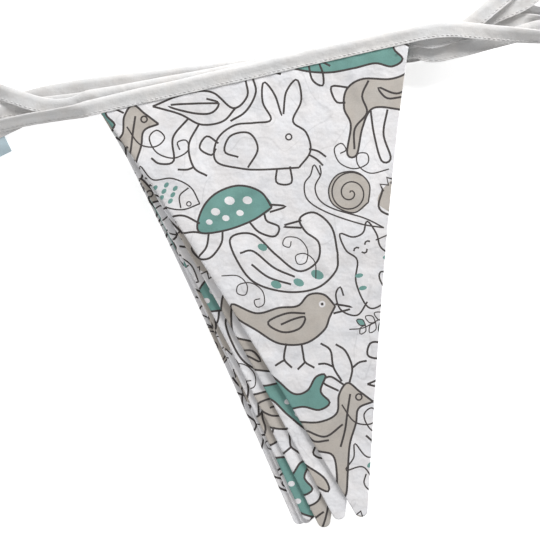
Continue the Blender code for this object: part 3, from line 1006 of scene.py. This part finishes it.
def stitches():
    """The thread along the tape's lower edge, a short stitch at a time, on both faces."""
    rows = smoothed(tape_course(), TAPE_STEP)
    lengths = distances(rows)
    track = np.hstack([rows, *frames(rows)])
    points, faces = [], []
    across = -TAPE_WIDTH / 2 + STITCH_IN
    for start in np.arange(STITCH_PITCH, lengths[-1] - STITCH_PITCH, STITCH_PITCH):
        for side in (-1, 1):
            base = len(points)
            for share, height, radius in STITCH_RINGS:
                mark = start + STITCH * share
                row = np.array([np.interp(mark, lengths, values) for values in track.T])
                slot, fold, face = row[4], row[5:8], row[8:]
                level = leaf_level(slot)[0] + height * THREAD_RADIUS
                centre = row[:3] + fold * across + face * level * side
                spread = THREAD_RADIUS * radius
                for angle in np.arange(THREAD_SIDES) * 2 * math.pi / THREAD_SIDES:
                    aside = fold * math.cos(angle) * spread * THREAD_FLAT
                    points.append(centre + aside + face * math.sin(angle) * spread)
            last = base + (len(STITCH_RINGS) - 1) * THREAD_SIDES
            for ring in range(base, last, THREAD_SIDES):
                for k in range(THREAD_SIDES):
                    a, b = ring + k, ring + (k + 1) % THREAD_SIDES
                    faces.append((a, b, b + THREAD_SIDES, a + THREAD_SIDES))
            faces.append(tuple(range(base + THREAD_SIDES - 1, base - 1, -1)))
            faces.append(tuple(range(last, last + THREAD_SIDES)))
    return piece("tape_stitches", [tuple(p) for p in points], faces, THREAD)


# The label


def label_ribbon():
    """The bare label, with thin selvedges along its cut sides."""
    x, y, rise = LABEL
    along, down = turned(rise)
    level = TAPE_LEAF + OPEN_SLOT / 2
    downs = np.linspace(-LABEL_TUCKED_IN, LABEL_DROP, LABEL_ROWS)
    acrosses = np.linspace(0, LABEL_WIDTH, LABEL_COLUMNS)
    points = []
    for side in (1, -1):
        for down_by in downs:
            sunk = eased(down_by, 0, LABEL_DROP * LABEL_FLAT_FROM)
            loose = float(eased(down_by, 0, LABEL_DROP))
            height = level * (1 - sunk) + CLOTH_OF_SOLID / 2 * sunk
            for across in acrosses:
                rim = min(across, LABEL_WIDTH - across, LABEL_DROP - down_by) / LABEL_EDGE
                half = LABEL_THICK / 2 * math.sqrt(1 - (1 - min(1, max(LABEL_EDGE_SHARE, rim))) ** 2)
                wave = LABEL_WAVE * math.sin(across / MM / LABEL_WAVE_MM) * loose
                place = at(x, y) + along * across + down * down_by
                points.append((*place, height + wave + side * half))
    columns, rows = len(acrosses), len(downs)
    below = rows * columns
    faces = []
    for row in range(rows - 1):
        for column in range(columns - 1):
            a = row * columns + column
            b, c, d = a + 1, a + columns + 1, a + columns
            faces.append((a, d, c, b))
            faces.append((below + a, below + b, below + c, below + d))
    rim = list(range(columns))
    rim += [row * columns + columns - 1 for row in range(1, rows)]
    rim += [(rows - 1) * columns + column for column in range(columns - 2, -1, -1)]
    rim += [row * columns for row in range(rows - 2, 0, -1)]
    for a, b in zip(rim, rim[1:] + rim[:1]):
        faces.append((a, b, below + b, below + a))
    label = piece("label_ribbon", points, faces, RIBBON)
    label.data.set_sharp_from_angle(angle=LABEL_SHARP_FROM)
    return label


# Materials


def fill(node, **values):
    """Sets a node's inputs, named with _ for a space."""
    for name, value in values.items():
        node.inputs[name.replace("_", " ")].default_value = value


class Nodes:
    """A short way to add and link nodes of one material."""

    def __init__(self, name):
        self.material = bpy.data.materials.new(name)
        self.material.use_nodes = True
        self.tree = self.material.node_tree
        self.shader = self.tree.nodes["Principled BSDF"]
        self.place = self.add("ShaderNodeTexCoord").outputs["Object"]

    def add(self, kind, **settings):
        node = self.tree.nodes.new(kind)
        for key, value in settings.items():
            setattr(node, key, value)
        return node

    def link(self, output, node, socket):
        self.tree.links.new(output, node.inputs[socket])

    def noise(self, size, detail, roughness=0.5, distortion=0.0):
        """Noise whose blobs are about this size, in metres."""
        node = self.add("ShaderNodeTexNoise")
        fill(node, Scale=1 / size, Detail=detail, Roughness=roughness, Distortion=distortion)
        self.link(self.place, node, "Vector")
        return node.outputs["Fac"]

    def maths(self, operation, a, b=0.0):
        node = self.add("ShaderNodeMath", operation=operation)
        for index, value in enumerate((a, b)):
            if isinstance(value, float):
                node.inputs[index].default_value = value
            else:
                self.link(value, node, index)
        return node.outputs[0]

    def ramp(self, value, *stops):
        """A grey or colour ramp of (position, colour) stops."""
        node = self.add("ShaderNodeValToRGB")
        elements = node.color_ramp.elements
        while len(elements) < len(stops):
            elements.new(0.5)
        for element, (position, colour) in zip(elements, stops):
            element.position = position
            element.color = (*colour, 1)
        self.link(value, node, "Fac")
        return node.outputs["Color"]

    def multiply(self, a, b):
        """One colour times another. Sockets 6 and 7 and output 2 are the colours'."""
        node = self.add("ShaderNodeMix", data_type="RGBA", blend_type="MULTIPLY")
        node.inputs[0].default_value = 1.0
        self.link(a, node, 6)
        self.link(b, node, 7)
        return node.outputs[2]

    def weave(self, pitch):
        """The height of a plain weave with this thread pitch, in metres."""
        waves = []
        for direction in ("X", "Y"):
            node = self.add("ShaderNodeTexWave", bands_direction=direction)
            fill(node, Scale=WEAVE_SCALE / pitch, Distortion=0.6, Detail=1.0)
            self.link(self.place, node, "Vector")
            waves.append(node.outputs["Fac"])
        return self.maths("ADD", waves[0], waves[1])

    def bump(self, height, distance, strength, onto=None):
        node = self.add("ShaderNodeBump")
        fill(node, Distance=distance, Strength=strength)
        self.link(height, node, "Height")
        if onto:
            self.link(onto, node, "Normal")
        return node.outputs["Normal"]


def grey(value):
    return (value, value, value)


def scaled(colour, share):
    return tuple(channel * share for channel in colour)


def cotton(name, colour, mottle, ghost=0.0, pitch=0.42 * MM, crumple_share=0.35, crumple_size=7 * MM):
    """Woven cotton: fine threads, small slubs, and soft uneven patches of its colour.

    With a ghost, the back layer's print shows faintly through, as soft lines and patches.
    """
    nodes = Nodes(name)
    darker, lighter = scaled(colour, 1 - mottle), scaled(colour, 1 + mottle)
    patches = nodes.ramp(nodes.noise(PATCH_SIZE, 3), (0.3, darker), (0.7, lighter))
    slubs = nodes.noise(SLUB_SIZE, 2, 0.7)
    speckle = nodes.ramp(slubs, (0.25, grey(1 - SLUB_SHARE * mottle)), (0.6, grey(1.0)))
    coloured = nodes.multiply(patches, speckle)
    tint = nodes.ramp(nodes.noise(TINT_SIZE, 2, 0.6), (0.36, WARM), (0.64, COOL))
    coloured = nodes.multiply(coloured, tint)
    if ghost:
        level = nodes.maths("SUBTRACT", nodes.noise(GHOST_LINE_SIZE, 0.6, 0.4, 0.9), 0.5)
        line = nodes.ramp(nodes.maths("ABSOLUTE", level), (0.0, grey(1 - ghost)), (0.014, grey(1.0)))
        patch_level = nodes.noise(GHOST_PATCH_SIZE, 0, 0.3)
        back = nodes.ramp(patch_level, (0.5, grey(1.0)), (0.56, grey(1 - ghost * GHOST_PATCH_SHARE)))
        coloured = nodes.multiply(nodes.multiply(coloured, line), back)
    nodes.link(coloured, nodes.shader, "Base Color")
    threads = nodes.bump(nodes.weave(pitch), WEAVE_HEIGHT, 0.5)
    height = crumple_size / CRUMPLE_SLOPE
    crumple = nodes.bump(nodes.noise(crumple_size, 3, 0.55), height, crumple_share, threads)
    nodes.link(crumple, nodes.shader, "Normal")
    fill(nodes.shader, Roughness=0.85, Specular_IOR_Level=0.25, Sheen_Weight=0.12, Sheen_Roughness=0.5)
    return nodes.material


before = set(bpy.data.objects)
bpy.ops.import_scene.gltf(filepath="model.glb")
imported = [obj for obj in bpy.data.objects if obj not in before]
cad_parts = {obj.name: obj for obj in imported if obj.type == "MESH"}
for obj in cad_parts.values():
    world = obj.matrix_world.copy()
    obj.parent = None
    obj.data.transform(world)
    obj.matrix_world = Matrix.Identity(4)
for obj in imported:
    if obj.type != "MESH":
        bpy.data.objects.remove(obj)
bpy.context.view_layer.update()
for left_over in [o for o in bpy.data.objects if o.type in ("LIGHT", "CAMERA")]:
    bpy.data.objects.remove(left_over)

CLOTH_MATERIALS = (
    cotton("flag cotton", CLOTH_WHITE, 0.055, ghost=0.12, crumple_share=1.0, crumple_size=16 * MM),
    cotton("flag print taupe", TAUPE, 0.08),
    cotton("flag print teal", TEAL, 0.08),
    cotton("flag print charcoal", INK, 0.1),
)
TAPE_COTTON = cotton(
    "tape cotton", TAPE_WHITE, 0.05, pitch=0.5 * MM, crumple_share=0.9, crumple_size=9 * MM
)
THREAD = cotton("white thread", THREAD_WHITE, 0.03, pitch=0.2 * MM)
RIBBON = cotton("label ribbon", PALE_BLUE, 0.04, pitch=0.3 * MM)

for index, (flag_name, *_) in enumerate(FLAGS):
    cloth = flag_cloth(index)
    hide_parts(flag_name)
    round(abs(signed_area(outline(0.0))), 4)

binding, tape_length = tape_binding()
thread = stitches()
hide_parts("tape")

ribbon_piece = label_ribbon()
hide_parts("label")

# The floor
floor_mesh = bpy.data.meshes.new("floor")
reach = FLOOR_SIZE / 2
corners = [(-reach, -reach, 0), (reach, -reach, 0), (reach, reach, 0), (-reach, reach, 0)]
floor_mesh.from_pydata(corners, [], [(0, 1, 2, 3)])
floor = bpy.data.objects.new("floor", floor_mesh)
bpy.context.collection.objects.link(floor)
floor.location.z = -FLOOR_DROP
paper = Nodes("floor paper")
shade = paper.ramp(paper.noise(FLOOR_MOTTLE, 2), (0.3, scaled(FLOOR_WHITE, 0.99)), (0.7, FLOOR_WHITE))
paper.link(shade, paper.shader, "Base Color")
fill(paper.shader, Roughness=0.9, Emission_Color=(1, 1, 1, 1), Emission_Strength=FLOOR_GLOW)
floor_mesh.materials.append(paper.material)


def area_light(name, place, size, watts):
    """A soft square light that points at the middle of the bunting."""
    data = bpy.data.lights.new(name, "AREA")
    data.shape, data.size, data.energy = "SQUARE", size, watts
    made = bpy.data.objects.new(name, data)
    bpy.context.collection.objects.link(made)
    made.location = place
    made.rotation_euler = (-Vector(place)).to_track_quat("-Z", "Y").to_euler()


area_light("key", *KEY_LIGHT)
area_light("fill", *FILL_LIGHT)
world = bpy.data.worlds.new("studio")
bpy.context.scene.world = world
world.use_nodes = True
fill(world.node_tree.nodes["Background"], Color=(1, 1, 1, 1), Strength=WORLD_STRENGTH)

camera_data = bpy.data.cameras.new("camera")
camera_data.sensor_width = SENSOR_MM
camera_data.lens = SENSOR_MM * CAMERA_HEIGHT / (VIEW_STEPS * LAYOUT_STEP)
camera = bpy.data.objects.new("camera", camera_data)
bpy.context.collection.objects.link(camera)
camera.location = (*at(*VIEW_CENTRE_STEP), CAMERA_HEIGHT)
bpy.context.scene.camera = camera
bpy.context.scene.view_settings.view_transform = "Standard"
